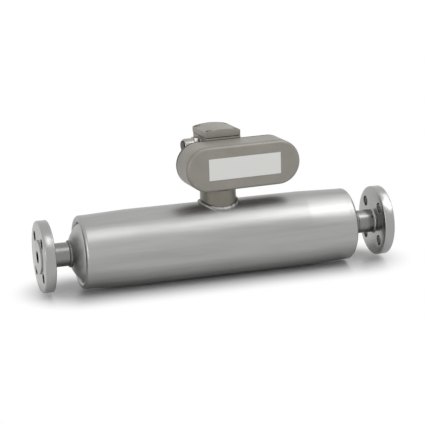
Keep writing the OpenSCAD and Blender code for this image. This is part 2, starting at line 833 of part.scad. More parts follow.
// Dome nut with a rounded outer edge
module gland_dome_nut() {
  edge = 2;
  r = dome_nut_d / 2;
  color("silver") on_stem() gland_turned(gland_end_x) difference() {
    union() {
      translate([0, edge]) square([r, dome_nut_l - edge]);
      square([r - edge, edge + 1]);
      translate([r - edge, edge]) circle(r = edge);
    }
    translate([-1, -1]) square([cable_d / 2 + 1, dome_nut_l + 2]);
    translate([-1, 1.5]) square([r - 1.8 + 1, dome_nut_l]);
  }
}

// Plug that closes the gland until a cable is fitted
module gland_blank() {
  color("black") on_stem() {
    translate([gland_end_x - 1.6, gland_y, gland_z]) rotate([0, 90, 0])
      cylinder(r = cable_d / 2 + 2.3, h = 1.6);
    translate([gland_end_x, gland_y, gland_z]) rotate([0, 90, 0])
      cylinder(r = cable_d / 2, h = dome_nut_l - 3);
  }
}

// ---------- lid of the terminal box ----------

// Arched lid with counterbored corners and a hollow underside
module terminal_lid() {
  arch_r = (pow(lid_w / 2, 2) + pow(lid_rise, 2)) / (2 * lid_rise);
  top_z = lid_z + lid_side_h + lid_rise;
  color(grey_beige) on_stem() difference() {
    intersection() {
      corner_block([box_shift, lid_mid_y], [lid_w, lid_l], corner_r, lid_z, top_z + 1);
      translate([box_shift, lid_mid_y - lid_l, top_z - arch_r]) rotate([-90, 0, 0])
        cylinder(r = arch_r, h = 2 * lid_l);
    }
    difference() {
      corner_block([box_shift, lid_mid_y], [box_w - 2 * box_wall, box_l - 2 * box_wall - 1], 1.5,
                   lid_z - 1, lid_z + lid_side_h - 4);
      lid_screw_places() cylinder(r = lid_post_r + 1.5, h = top_z);
    }
    lid_screw_places() {
      translate([0, 0, lid_z - 1]) cylinder(r = lid_screw_r + screw_clearance, h = lid_side_h + 2);
      translate([0, 0, lid_seat_z]) cylinder(r = lid_head_r + 1.2, h = lid_side_h + lid_rise);
    }
  }
}

module lid_gasket() {
  color("black") on_stem() difference() {
    corner_block([box_shift, plate_back + box_l / 2], [box_w, box_l], corner_r, box_rim_z, lid_z);
    difference() {
      corner_block([box_shift, plate_back + box_l / 2],
                   [box_w - 2 * box_wall, box_l - 2 * box_wall], 1.5, box_rim_z - 1, lid_z + 1);
      lid_screw_places() cylinder(r = lid_post_r, h = lid_z + 2);
    }
    lid_screw_places() cylinder(r = lid_screw_r + screw_clearance, h = lid_z + 2);
  }
}

// Captive socket-head screws
module lid_screws() {
  key_d = lid_screw_d * 0.75;
  color(machined) on_stem() lid_screw_places() difference() {
    union() {
      translate([0, 0, box_rim_z - lid_screw_l])
        cylinder(r = lid_screw_r, h = lid_seat_z - box_rim_z + lid_screw_l);
      translate([0, 0, lid_seat_z]) cylinder(r = lid_head_r, h = lid_screw_d);
    }
    translate([0, 0, lid_seat_z + lid_screw_d / 2])
      cylinder(d = key_d / cos(30), h = lid_screw_d, $fn = 6);
  }
}

inlet_flange();
outlet_flange();
inlet_neck_weld();
outlet_neck_weld();
inlet_end_dome();
outlet_end_dome();
inlet_end_ring();
outlet_end_ring();
outer_shell();
inlet_bulkhead();
outlet_bulkhead();
support_tube();
measuring_tube();
drive_magnet_clip();
drive_magnet();
drive_coil();
drive_coil_bracket();
inlet_magnet_clip();
inlet_magnet();
inlet_pickup_coil();
inlet_coil_bracket();
outlet_magnet_clip();
outlet_magnet();
outlet_pickup_coil();
outlet_coil_bracket();
tube_temperature_sensor();
support_temperature_sensor();
sensor_harness();
stem();
stem_weld();
feedthrough_header();
stem_o_ring();
stem_ring_nut();
housing_can();
label_plate();
housing_gasket();
rear_casting();
rear_cover_screws();
main_board();
power_board();
board_standoffs();
board_screws();
sensor_lead();
terminal_lead();
terminal_block();
terminal_clamp_screws();
earth_screw();
gland_washer();
gland_body();
gland_seal();
gland_dome_nut();
gland_blank();
terminal_lid();
lid_gasket();
lid_screws();
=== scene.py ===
# %% [markdown]
# # A flanged coriolis flow meter
# The meter is a straight steel body between two pipe flanges. A coated stem carries a
# racetrack-shaped converter housing with a small terminal box on its back. The solids arrive
# ready made. What is left to do here is the finish of each metal, rubber and coat, the parts
# whose detail is too fine for the solids, and a plain studio to see it all in.

import json
import math

import bmesh
import bpy
from mathutils import Matrix, Vector


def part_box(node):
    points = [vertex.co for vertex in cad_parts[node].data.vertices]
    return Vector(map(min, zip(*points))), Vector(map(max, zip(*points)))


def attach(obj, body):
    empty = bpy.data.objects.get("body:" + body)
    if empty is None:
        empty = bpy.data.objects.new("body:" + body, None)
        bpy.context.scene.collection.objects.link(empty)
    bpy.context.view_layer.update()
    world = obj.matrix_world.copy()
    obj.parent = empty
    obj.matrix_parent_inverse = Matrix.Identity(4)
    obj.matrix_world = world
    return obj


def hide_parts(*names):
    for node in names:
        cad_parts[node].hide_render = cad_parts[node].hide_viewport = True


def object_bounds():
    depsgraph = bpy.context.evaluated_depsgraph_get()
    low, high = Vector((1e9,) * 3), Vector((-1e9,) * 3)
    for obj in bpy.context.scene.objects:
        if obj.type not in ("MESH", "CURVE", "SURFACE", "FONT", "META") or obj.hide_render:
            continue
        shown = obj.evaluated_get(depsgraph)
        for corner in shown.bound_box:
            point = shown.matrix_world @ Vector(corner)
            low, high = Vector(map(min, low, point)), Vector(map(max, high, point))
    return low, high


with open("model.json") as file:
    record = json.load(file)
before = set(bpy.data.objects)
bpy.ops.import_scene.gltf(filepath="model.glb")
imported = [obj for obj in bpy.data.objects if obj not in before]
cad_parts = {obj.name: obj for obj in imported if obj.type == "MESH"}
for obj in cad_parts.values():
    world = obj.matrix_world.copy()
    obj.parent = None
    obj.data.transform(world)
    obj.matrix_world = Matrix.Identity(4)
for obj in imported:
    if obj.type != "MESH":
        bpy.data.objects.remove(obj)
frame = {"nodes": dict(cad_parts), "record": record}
solid_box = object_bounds()
MM = 0.001
meter_middle = (solid_box[0] + solid_box[1]) / 2

# %% [markdown]
# ## Two helpers for finishes
# Paint and metal colours are easiest to think of as the hex codes that a colour picker shows. The
# shader wants linear light instead, so one function turns them. A second function adds a node,
# sets it and links it, which keeps each finish below down to a readable list.

# %% Colour and node helpers
def linear(hex_code):
    """Turns an sRGB hex code into the linear colour that a shader expects."""
    parts = [int(hex_code[i:i + 2], 16) / 255 for i in (1, 3, 5)]
    light = [p / 12.92 if p <= 0.04045 else ((p + 0.055) / 1.055) ** 2.4 for p in parts]
    return (*light, 1.0)


def add_node(tree, kind, settings=None, inputs=None):
    """Adds a node, sets its properties, and fills its sockets with values or links."""
    node = tree.nodes.new(kind)
    for name, value in (settings or {}).items():
        setattr(node, name, value)
    for name, value in (inputs or {}).items():
        socket = node.inputs[name]
        if isinstance(value, bpy.types.NodeSocket):
            tree.links.new(value, socket)
        else:
            socket.default_value = value
    return node


def start_finish(name, **sockets):
    """A new material with one Principled shader, whose plain sockets are set straight away."""
    finish = bpy.data.materials.new(name)
    finish.use_nodes = True
    tree = finish.node_tree
    tree.nodes.clear()
    shader = add_node(tree, "ShaderNodeBsdfPrincipled", inputs=sockets)
    out = add_node(tree, "ShaderNodeOutputMaterial", inputs={"Surface": shader.outputs["BSDF"]})
    shader.location, out.location = (0, 0), (300, 0)
    place = add_node(tree, "ShaderNodeTexCoord")
    return finish, tree, shader, place.outputs["Object"]


print("white reads", [round(c, 3) for c in linear("#FFFFFF")])

# %% [markdown]
# ## Ground stainless steel for the body
# The shell is stainless tube, brushed lengthwise with a fine belt. That leaves lines along the
# tube which are far longer than they are wide. A noise that is stretched along the pipe and
# squeezed across it gives such lines. Real grit marks are about 0.1 mm apart, too fine to see
# here, so they are drawn at 0.6 mm. A slower noise, stretched the same way, gives the cloudy
# bands that hand work leaves. The lines spread a highlight across themselves, so the shader's
# tangent runs round the pipe.
#
# The domes at the ends are sunk inside a rolled rim. Light hardly reaches that corner, so a painted
# shade darkens the metal there with its distance from the pipe's axis.

# %% Ground stainless steel
def ground_metal(name, colour, rough, line_mm, depth_mm, wave_mm, crevice_mm=None):
    """Metal ground lengthwise, with lines of a width and depth, slow waves, and a painted crevice
    shade.
    """
    finish, tree, shader, place = start_finish(name, **{
        "Base Color": linear(colour), "Metallic": 1.0, "Roughness": rough, "Anisotropic": 0.35})
    around = add_node(tree, "ShaderNodeTangent", {"direction_type": "RADIAL", "axis": "X"})
    tree.links.new(around.outputs["Tangent"], shader.inputs["Tangent"])
    # a grit line is about fifty times longer than it is wide
    lines = 1 / (line_mm * MM)
    squeezed = add_node(tree, "ShaderNodeMapping", inputs={
        "Vector": place, "Scale": (lines / 50, lines, lines)})
    grit = add_node(tree, "ShaderNodeTexNoise", inputs={
        "Vector": squeezed.outputs["Vector"], "Scale": 1.0, "Detail": 4.0, "Roughness": 0.6})
    # the belt's passes are about 220 mm long and 16 mm wide
    drift = 1 / (220 * MM)
    along_pipe = add_node(tree, "ShaderNodeMapping", inputs={
        "Vector": place, "Scale": (drift, drift * 14, drift * 14)})
    clouds = add_node(tree, "ShaderNodeTexNoise", inputs={
        "Vector": along_pipe.outputs["Vector"], "Scale": 1.0, "Detail": 5.0, "Roughness": 0.6})
    shade = add_node(tree, "ShaderNodeValToRGB", inputs={"Fac": clouds.outputs["Fac"]})
    low, high = shade.color_ramp.elements
    base = linear(colour)
    low.position, low.color = 0.30, tuple(0.86 * c for c in base[:3]) + (1.0,)
    high.position, high.color = 0.68, tuple(1.10 * c for c in base[:3]) + (1.0,)
    tree.links.new(shade.outputs["Color"], shader.inputs["Base Color"])
    if crevice_mm:
        # painted shade: the colour darkens beyond a radius about the pipe's axis, in the corner
        # under the rim
        starts, darkest = (v * MM for v in crevice_mm)
        flat = add_node(tree, "ShaderNodeVectorMath", {"operation": "MULTIPLY"}, {
            0: place, 1: (0.0, 1.0, 1.0)})
        radius = add_node(tree, "ShaderNodeVectorMath", {"operation": "LENGTH"}, {
            0: flat.outputs["Vector"]})
        clean = add_node(tree, "ShaderNodeMapRange", {"interpolation_type": "SMOOTHSTEP"}, {
            "Value": radius.outputs["Value"], "From Min": starts, "From Max": darkest,
            "To Min": 1.0, "To Max": 0.25})
        dirty = add_node(tree, "ShaderNodeVectorMath", {"operation": "SCALE"}, {
            0: shade.outputs["Color"], "Scale": clean.outputs["Result"]})
        tree.links.new(dirty.outputs["Vector"], shader.inputs["Base Color"])
    uneven = add_node(tree, "ShaderNodeMath", {"operation": "MULTIPLY_ADD"}, {
        0: clouds.outputs["Fac"], 1: 0.8, 2: grit.outputs["Fac"]})
    gloss = add_node(tree, "ShaderNodeMapRange", inputs={
        "Value": uneven.outputs["Value"], "From Min": 0.5, "From Max": 1.3,
        "To Min": rough - 0.07, "To Max": rough + 0.08})
    tree.links.new(gloss.outputs["Result"], shader.inputs["Roughness"])
    # the belt follows the tube by hand, which leaves shallow waves a few centimetres long
    waves = add_node(tree, "ShaderNodeTexNoise", inputs={
        "Vector": along_pipe.outputs["Vector"], "Scale": 1.3, "Detail": 1.0})
    wavy = add_node(tree, "ShaderNodeBump", inputs={
        "Height": waves.outputs["Fac"], "Strength": 1.0, "Distance": wave_mm * MM})
    bump = add_node(tree, "ShaderNodeBump", inputs={
        "Height": grit.outputs["Fac"], "Strength": 0.35, "Distance": depth_mm * MM,
        "Normal": wavy.outputs["Normal"]})
    tree.links.new(bump.outputs["Normal"], shader.inputs["Normal"])
    return finish


# a fine belt leaves the shell satin, with one soft band of light along it
shell_steel = ground_metal("ground stainless shell", "#A2A2A1", 0.35, 0.6, 0.02, 0.04)
# the inner tube and brackets are only deburred, so they stay duller
cap_steel = ground_metal("ground stainless brackets", "#A0A09F", 0.42, 0.6, 0.012, 0.2)
# the domes are pressed and wiped over by hand and dull; their base is a lighter copy of the shell's
# steel, a painted light, with a painted shade towards the rim
dome_steel = ground_metal("ground stainless domes", "#B2B2B0", 0.42, 0.6, 0.012, 0.04,
                          crevice_mm=(36.0, 44.5))
print("made:", [finish.name for finish in (shell_steel, cap_steel, dome_steel)])

# %% [markdown]
# ## Turned stainless steel for the flanges
# A flange comes off the lathe with rings on its faces, because the tool moves a little with each
# turn. The rings depend only on the distance from the pipe's axis, so that distance drives the
# noise. The feed is about 0.2 mm a turn and is drawn at 0.7 mm so that it can be seen.
#
# Only the discs and their faces are left bright. The necks are painted darker, a painted shade that
# stands in for the darker reflections on them, so the tone drops just behind each disc.

# %% Turned stainless steel
def turned_metal(name, colour, rough, feed_mm, axis=(0.0, 1.0, 1.0), pickled_mm=None):
    """Metal turned about the axis whose share is 0, with rings one feed apart."""
    finish, tree, shader, place = start_finish(name, **{
        "Base Color": linear(colour), "Metallic": 1.0, "Roughness": rough, "Anisotropic": 0.5})
    around = add_node(tree, "ShaderNodeTangent", {
        "direction_type": "RADIAL", "axis": "X" if axis[0] == 0 else "Y"})
    tree.links.new(around.outputs["Tangent"], shader.inputs["Tangent"])
    flat = add_node(tree, "ShaderNodeVectorMath", {"operation": "MULTIPLY"}, {0: place, 1: axis})
    radius = add_node(tree, "ShaderNodeVectorMath", {"operation": "LENGTH"}, {
        0: flat.outputs["Vector"]})
    along = add_node(tree, "ShaderNodeSeparateXYZ", inputs={"Vector": place})
    where = add_node(tree, "ShaderNodeCombineXYZ", inputs={
        "X": radius.outputs["Value"], "Y": along.outputs["X"]})
    if pickled_mm:
        # painted shade on the necks: how far from the meter's middle the darker tone ends, and
        # where the bright one starts
        dull, bright = (v * MM for v in pickled_mm)
        from_middle = add_node(tree, "ShaderNodeMath", {"operation": "SUBTRACT"}, {
            0: along.outputs["X"], 1: meter_middle.x})
        distance = add_node(tree, "ShaderNodeMath", {"operation": "ABSOLUTE"}, {
            0: from_middle.outputs["Value"]})
        tone = add_node(tree, "ShaderNodeMapRange", {"interpolation_type": "SMOOTHSTEP"}, {
            "Value": distance.outputs["Value"], "From Min": dull, "From Max": bright,
            "To Min": 0.62, "To Max": 1.0})
        shade = add_node(tree, "ShaderNodeVectorMath", {"operation": "SCALE"}, {
            0: linear(colour)[:3], "Scale": tone.outputs["Result"]})
        tree.links.new(shade.outputs["Vector"], shader.inputs["Base Color"])
    rings = add_node(tree, "ShaderNodeTexNoise", inputs={
        "Vector": where.outputs["Vector"], "Scale": 1 / (feed_mm * MM), "Detail": 0.5})
    gloss = add_node(tree, "ShaderNodeMapRange", inputs={
        "Value": rings.outputs["Fac"], "From Min": 0.3, "From Max": 0.7,
        "To Min": rough - 0.03, "To Max": rough + 0.05})
    tree.links.new(gloss.outputs["Result"], shader.inputs["Roughness"])
    bump = add_node(tree, "ShaderNodeBump", inputs={
        "Height": rings.outputs["Fac"], "Strength": 0.12, "Distance": 0.006 * MM})
    tree.links.new(bump.outputs["Normal"], shader.inputs["Normal"])
    return finish


# a sharp tool leaves the discs bright, with a glint that spreads across the rings; the necks get a
# painted shade
flange_steel = turned_metal("turned stainless flanges", "#9E9E9D", 0.24, 0.7,
                            pickled_mm=(223.0, 228.0))
# small screws read as bright dots with a dark socket
plain_steel = turned_metal("turned stainless screws", "#B9B8B5", 0.28, 0.5)
print("made:", [finish.name for finish in (flange_steel, plain_steel)])

# %% [markdown]
# ## Weld metal
# A bead that was pickled and brushed stays a shade darker and greyer than the ground tube beside
# it, and a little uneven where it was hottest. Its ripples are modelled below, so the finish only
# adds the tone and the fine brush marks.

# %% Weld metal
weld_metal, tree, shader, place = start_finish("brushed weld metal", **{
    "Base Color": linear("#807F7C"), "Metallic": 1.0, "Roughness": 0.38})
# spots of oxide and bare metal take turns every 4 mm or so
spot_mm = 3.85
heat = add_node(tree, "ShaderNodeTexNoise", inputs={
    "Vector": place, "Scale": 1 / (spot_mm * MM), "Detail": 3.0})
tint = add_node(tree, "ShaderNodeValToRGB", inputs={"Fac": heat.outputs["Fac"]})
tint.color_ramp.elements[0].color = linear("#6C6B69")
tint.color_ramp.elements[1].color = linear("#8F8F8E")
tree.links.new(tint.outputs["Color"], shader.inputs["Base Color"])
brush = add_node(tree, "ShaderNodeBump", inputs={
    "Height": heat.outputs["Fac"], "Strength": 0.2, "Distance": 0.03 * MM})
tree.links.new(brush.outputs["Normal"], shader.inputs["Normal"])
print("made", weld_metal.name)

# %% [markdown]
# ## Powder coat on the converter
# The housing, the terminal box and the stem wear a warm grey powder coat. Baked powder never
# levels fully: it keeps a shallow skin like orange peel, with dimples 1 to 2 mm across, and a
# satin gloss. This coat holds fine metal flakes, more on the stem than on the housing, so it's
# partly metallic: that gives a soft sheen in its own grey, where plain paint would only show a
# white one.

# %% Powder coat
def powder_coat(name, colour, rough, flake):
    """Baked powder of a colour and roughness, where flake is its metallic share."""
    finish, tree, shader, place = start_finish(name, **{
        "Base Color": linear(colour), "Metallic": flake, "Roughness": rough, "IOR": 1.5})
    dimple_mm, cloud_mm = 1.4, 22.2
    peel = add_node(tree, "ShaderNodeTexNoise", inputs={
        "Vector": place, "Scale": 1 / (dimple_mm * MM), "Detail": 2.0})
    cloud = add_node(tree, "ShaderNodeTexNoise", inputs={
        "Vector": place, "Scale": 1 / (cloud_mm * MM), "Detail": 4.0})
    shade = add_node(tree, "ShaderNodeValToRGB", inputs={"Fac": cloud.outputs["Fac"]})
    low, high = shade.color_ramp.elements
    base = linear(colour)
    low.position, low.color = 0.3, tuple(0.94 * c for c in base[:3]) + (1.0,)
    high.position, high.color = 0.7, tuple(1.05 * c for c in base[:3]) + (1.0,)
    tree.links.new(shade.outputs["Color"], shader.inputs["Base Color"])
    gloss = add_node(tree, "ShaderNodeMapRange", inputs={
        "Value": peel.outputs["Fac"], "To Min": rough - 0.04, "To Max": rough + 0.06})
    tree.links.new(gloss.outputs["Result"], shader.inputs["Roughness"])
    bump = add_node(tree, "ShaderNodeBump", inputs={
        "Height": peel.outputs["Fac"], "Strength": 0.12, "Distance": 0.035 * MM})
    tree.links.new(bump.outputs["Normal"], shader.inputs["Normal"])
    return finish


housing_coat = powder_coat("warm grey powder coat", "#959189", 0.42, 0.3)
# the stem wears the housing's coat, but its colour is painted darker: a painted shade
stem_coat = powder_coat("warm grey stem coat with painted shade", "#7C786F", 0.34, 0.55)
print("made:", [finish.name for finish in (housing_coat, stem_coat)])

# %% [markdown]
# ## Plastics, rubber and the small metals
# The remaining finishes are moulded, fired or plated. Each has a faint grain: rubber is dusty,
# moulded plastic is slightly mottled, and nickel plating follows the fine grain of the brass
# under it. The moulded ones differ only in colour, gloss and the size of that grain, so one
# function makes them all. The small metals reuse the two functions for steel.

# %% Moulded and rubbery finishes
def moulded(name, colour, rough, grain_mm, depth_mm, spread):
    """A plain surface with a grain of a size and depth, whose colour varies by a share."""
    finish, tree, shader, place = start_finish(name, **{
        "Base Color": linear(colour), "Roughness": rough, "IOR": 1.5})
    grain = add_node(tree, "ShaderNodeTexNoise", inputs={
        "Vector": place, "Scale": 1 / (grain_mm * MM), "Detail": 3.0})
    shade = add_node(tree, "ShaderNodeValToRGB", inputs={"Fac": grain.outputs["Fac"]})
    low, high = shade.color_ramp.elements
    base = linear(colour)
    low.color = tuple((1 - spread) * c for c in base[:3]) + (1.0,)
    high.color = tuple(min(1.0, (1 + spread) * c) for c in base[:3]) + (1.0,)
    tree.links.new(shade.outputs["Color"], shader.inputs["Base Color"])
    gloss = add_node(tree, "ShaderNodeMapRange", inputs={
        "Value": grain.outputs["Fac"], "To Min": rough - 0.05, "To Max": rough + 0.05})
    tree.links.new(gloss.outputs["Result"], shader.inputs["Roughness"])
    bump = add_node(tree, "ShaderNodeBump", inputs={
        "Height": grain.outputs["Fac"], "Strength": 0.2, "Distance": depth_mm * MM})
    tree.links.new(bump.outputs["Normal"], shader.inputs["Normal"])
    return finish


# rubber swallows light and looks dusty; the plastics keep a dull gleam from the mould
seal_rubber = moulded("black nitrile rubber", "#121213", 0.7, 0.8, 0.02, 0.2)
plug_plastic = moulded("black moulded polyamide", "#17181A", 0.42, 0.6, 0.01, 0.15)
grey_plastic = moulded("dark grey moulded polyamide", "#3A4244", 0.45, 0.6, 0.01, 0.1)
# the label's film is even and white, smoother than the coat around it
label_film = moulded("white polyester label film", "#EFEFEC", 0.38, 3.0, 0.004, 0.01)
# a board's lacquer lets the glass weave under it show as mottling
board_resin = moulded("green lacquered circuit board", "#1E5A38", 0.35, 1.2, 0.01, 0.12)
sensor_ceramic = moulded("fired alumina ceramic", "#E6E1D4", 0.5, 0.5, 0.005, 0.03)
magnet_metal = moulded("sintered magnet", "#6A6A6C", 0.4, 0.4, 0.01, 0.1)
print("moulded and fired:", len(bpy.data.materials))

# %% Small metals
# the gland's plating is bright, with a warm tone from the brass below
nickel_plate = ground_metal("nickel-plated brass", "#A19F99", 0.26, 0.3, 0.004, 0.01)
# the standoffs are turned bars, yellow and bright between the boards
standoff_brass = turned_metal("turned brass", "#C9A75A", 0.25, 0.5, axis=(1.0, 0.0, 1.0))
# fine wire laid turn by turn leaves lines, and its enamel makes them glossy
coil_copper = ground_metal("enamelled copper winding", "#B56B3A", 0.35, 0.3, 0.05, 0.02)
print("finishes:", len(bpy.data.materials))

# %% [markdown]
# ## Put the finishes on the solids
# Every solid gets the finish of its real material. A list of finish and pieces reads like a paint
# plan.

# %% Paint plan
paint_plan = {
    shell_steel: ["outer_shell", "inlet_end_ring", "outlet_end_ring"],
    dome_steel: ["inlet_end_dome", "outlet_end_dome"],
    cap_steel: ["support_tube", "drive_coil_bracket", "inlet_coil_bracket",
                "outlet_coil_bracket"],
    flange_steel: ["inlet_flange", "outlet_flange", "inlet_bulkhead", "outlet_bulkhead",
                   "measuring_tube", "drive_magnet_clip", "inlet_magnet_clip",
                   "outlet_magnet_clip", "feedthrough_header", "stem_ring_nut"],
    weld_metal: ["inlet_neck_weld", "outlet_neck_weld", "stem_weld"],
    stem_coat: ["stem"],
    housing_coat: ["housing_can", "rear_casting", "terminal_lid"],
    label_film: ["label_plate"],
    seal_rubber: ["housing_gasket", "lid_gasket", "stem_o_ring", "gland_washer", "gland_seal"],
    plug_plastic: ["gland_blank"],
    grey_plastic: ["terminal_block", "sensor_harness", "sensor_lead", "terminal_lead"],
    board_resin: ["main_board", "power_board"],
    sensor_ceramic: ["tube_temperature_sensor", "support_temperature_sensor"],
    magnet_metal: ["drive_magnet", "inlet_magnet", "outlet_magnet"],
    nickel_plate: ["gland_body", "gland_dome_nut"],
    standoff_brass: ["board_standoffs"],
    coil_copper: ["drive_coil", "inlet_pickup_coil", "outlet_pickup_coil"],
    plain_steel: ["rear_cover_screws", "board_screws", "terminal_clamp_screws", "earth_screw",
                  "lid_screws"],
}
painted = set()
for finish, names in paint_plan.items():
    for name in names:
        for material_slot in frame["nodes"][name].material_slots:
            material_slot.material = finish
        painted.add(name)
print("painted:", len(painted), "left:", sorted(set(frame["nodes"]) - painted))

# %% [markdown]
# ## Helpers for new pieces
# The solids stop at a certain fineness. Weld ripples, broken edges and screw recesses are added
# here as new pieces that take the place of the plain solid. A new piece sits at the origin with its
# place in its mesh, rides on the same body, and takes the finish it is given.

# %% Piece helpers
body_of = {name: body for body, names in frame["record"]["behaviour"]["bodies"].items()
           for name in names}


def add_piece(name, bm, finish, stands_for, smooth_below=40):
    """Turns a bmesh into a piece that replaces one solid and moves with that solid's body."""
    bmesh.ops.remove_doubles(bm, verts=bm.verts, dist=0.002 * MM)
    bmesh.ops.recalc_face_normals(bm, faces=bm.faces)
    mesh = bpy.data.meshes.new(name)
    bm.to_mesh(mesh)
    bm.free()
    for face in mesh.polygons:
        face.use_smooth = True
    mesh.set_sharp_from_angle(angle=math.radians(smooth_below))
    mesh.materials.append(finish)
    piece = bpy.data.objects.new(name, mesh)
    bpy.context.collection.objects.link(piece)
    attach(piece, body_of[stands_for])
    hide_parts(stands_for)
    print(name, "faces:", len(mesh.polygons))


# the converter stands on the stem and is turned a little about it
stem_x, converter_turn = 249.0, 3.5
on_stem = (Matrix.Translation((stem_x * MM, 0, 0))
           @ Matrix.Rotation(math.radians(converter_turn), 4, "Z"))
print("the stem stands at x =", round(on_stem.translation.x, 4))

# %% [markdown]
# ## Weld beads
# Each bead was laid by hand in short dabs, so its surface is a row of overlapping crescents,
# about 2 mm apart. A small circle is spun round the joint to make a plain ring. Its vertices are
# then pushed in and out with the dabs, and for the stem the whole ring is draped over the round
# shell.

# %% Bead round a joint
def spun_bead(major, minor, dabs, height):
    """A ring about Z with rippled dabs, each bent to a crescent as it lags towards the edges."""
    lag, steps_a_dab = 0.45, 5
    bm = bmesh.new()
    section = bmesh.ops.create_circle(bm, segments=16, radius=minor * MM, matrix=(
        Matrix.Translation((major * MM, 0, 0)) @ Matrix.Rotation(math.pi / 2, 4, "X")))
    bmesh.ops.spin(bm, geom=section["verts"] + bm.edges[:], cent=(0, 0, 0), axis=(0, 0, 1),
                   angle=2 * math.pi, steps=dabs * steps_a_dab, use_merge=True)
    for vert in bm.verts:
        turn = math.atan2(vert.co.y, vert.co.x)
        core = Vector((math.cos(turn), math.sin(turn), 0)) * major * MM
        arm = vert.co - core
        side = abs(arm.z) / (minor * MM)
        phase = (turn / (2 * math.pi) * dabs - lag * side) % 1.0
        # a hand wanders slowly, and a little faster, and a little faster still
        wander = (1 + 0.06 * math.sin(3 * turn + 0.7) + 0.05 * math.sin(8 * turn)
                  + 0.04 * math.sin(19 * turn))
        vert.co = core + arm * (wander + height * (1 - phase) ** 2 - 0.5 * height)
    return bm


shell_r = 50.8
stem_bead = spun_bead(major=24.4, minor=3.4, dabs=66, height=0.06)
for vert in stem_bead.verts:
    drape = math.sqrt((shell_r * MM) ** 2 - vert.co.y ** 2)
    vert.co += Vector((stem_x * MM, 0, drape))
add_piece("stem_weld_bead", stem_bead, weld_metal, "stem_weld", 60)

# %% [markdown]
# ## Beads round the necks
# The same bead, smaller, joins each neck to its dome. It lies against the outer end of the plain
# weld's box, so its place is read from that box.

# %% Beads round the necks
neck_bead_r = 2.2
for node in ("inlet_neck_weld", "outlet_neck_weld"):
    low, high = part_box(node)
    ring = spun_bead(major=15.9, minor=neck_bead_r, dabs=44, height=0.08)
    at_inlet = low.x < meter_middle.x
    middle_x = low.x + neck_bead_r * MM if at_inlet else high.x - neck_bead_r * MM
    bmesh.ops.transform(ring, verts=ring.verts, matrix=(
        Matrix.Translation((middle_x, 0, 0)) @ Matrix.Rotation(math.pi / 2, 4, "Y")))
    add_piece(node + "_bead", ring, weld_metal, node, 60)

# %% [markdown]
# ## Broken edges
# No machined or cast edge is truly sharp. A fine bevel catches a line of light and shows the
# shape. A solid's mesh is loose triangles, so its copy is merged and its flat parts are dissolved
# before the bevel.

# %% Bevelled copies of the solids
def break_edges(node, finish, width):
    """A copy of a solid whose outer edges sharper than 38 degrees get a small round."""
    bm = bmesh.new()
    bm.from_mesh(frame["nodes"][node].data)
    bmesh.ops.remove_doubles(bm, verts=bm.verts, dist=0.004 * MM)
    bmesh.ops.dissolve_limit(bm, angle_limit=math.radians(0.5), verts=bm.verts, edges=bm.edges)
    limit = math.radians(38)
    edges = [e for e in bm.edges
             if len(e.link_faces) == 2 and e.calc_face_angle(0) > limit and e.is_convex]
    bmesh.ops.bevel(bm, geom=edges, offset=width * MM, offset_type="OFFSET", segments=2,
                    profile=0.5, affect="EDGES", clamp_overlap=True, material=-1)
    add_piece(node + "_eased", bm, finish, node, smooth_below=20)


# the width of each broken edge in millimetres: cast edges are the softest, film has the sharpest
edge_plan = [
    ("inlet_flange", flange_steel, 0.45), ("outlet_flange", flange_steel, 0.45),
    ("label_plate", label_film, 0.15), ("terminal_lid", housing_coat, 0.5),
    ("rear_casting", housing_coat, 0.4), ("terminal_block", grey_plastic, 0.25),
    ("gland_body", nickel_plate, 0.25), ("gland_dome_nut", nickel_plate, 0.25),
    ("gland_blank", plug_plastic, 0.3), ("earth_screw", plain_steel, 0.2),
]
for node, finish, width in edge_plan:
    break_edges(node, finish, width)

# %% [markdown]
# ## Screws
# The lid and the rear cover are held by steel screws with a hexagon socket. A boolean could cut
# the socket, but it needs a cutter of its own for every head. Here a profile is spun into a
# screw, and the head's top is inset, pulled to a hexagon and pushed in.

# %% One screw
def screw(bm, head_r, head_h, shank_r, shank_l, key, place):
    """A socket-head screw that points along -Z, with its seat at the origin of place."""
    # the head's edge is rounded in three points
    edge, edge_middle = 0.45, 0.13
    profile = [(0, -shank_l), (shank_r - 0.4, -shank_l), (shank_r, -shank_l + 0.5), (shank_r, 0),
               (head_r, 0), (head_r, head_h - edge), (head_r - edge_middle, head_h - edge_middle),
               (head_r - edge, head_h)]
    part = bmesh.new()
    verts = [part.verts.new((r * MM, 0, z * MM)) for r, z in profile]
    edges = [part.edges.new(pair) for pair in zip(verts, verts[1:])]
    bmesh.ops.spin(part, geom=verts + edges, cent=(0, 0, 0), axis=(0, 0, 1), angle=2 * math.pi,
                   steps=36, use_merge=True)
    bmesh.ops.remove_doubles(part, verts=part.verts, dist=0.001 * MM)
    rim = [e for e in part.edges if e.is_boundary]
    top = bmesh.ops.edgenet_fill(part, edges=rim)["faces"]
    bmesh.ops.recalc_face_normals(part, faces=part.faces)
    # the inset leaves a disc as wide as the key's corners, which is then pulled to a hexagon
    key_corner_r = key * 0.56
    bmesh.ops.inset_region(part, faces=top, thickness=(head_r - edge - key_corner_r) * MM)
    socket = top[0]
    for vert in socket.verts:
        turn = math.atan2(vert.co.y, vert.co.x)
        flat = (turn + math.pi / 6) % (math.pi / 3) - math.pi / 6
        reach = key / 2 / math.cos(flat) * MM
        vert.co.x, vert.co.y = reach * math.cos(turn), reach * math.sin(turn)
    pushed = bmesh.ops.extrude_face_region(part, geom=[socket])
    down = [v for v in pushed["geom"] if isinstance(v, bmesh.types.BMVert)]
    socket_depth = 0.6 * head_h
    bmesh.ops.translate(part, verts=down, vec=(0, 0, -socket_depth * MM))
    bmesh.ops.delete(part, geom=[socket], context="FACES_ONLY")
    bmesh.ops.transform(part, verts=part.verts, matrix=place)
    done = bpy.data.meshes.new("one screw")
    part.to_mesh(done)
    part.free()
    bm.from_mesh(done)
    bpy.data.meshes.remove(done)


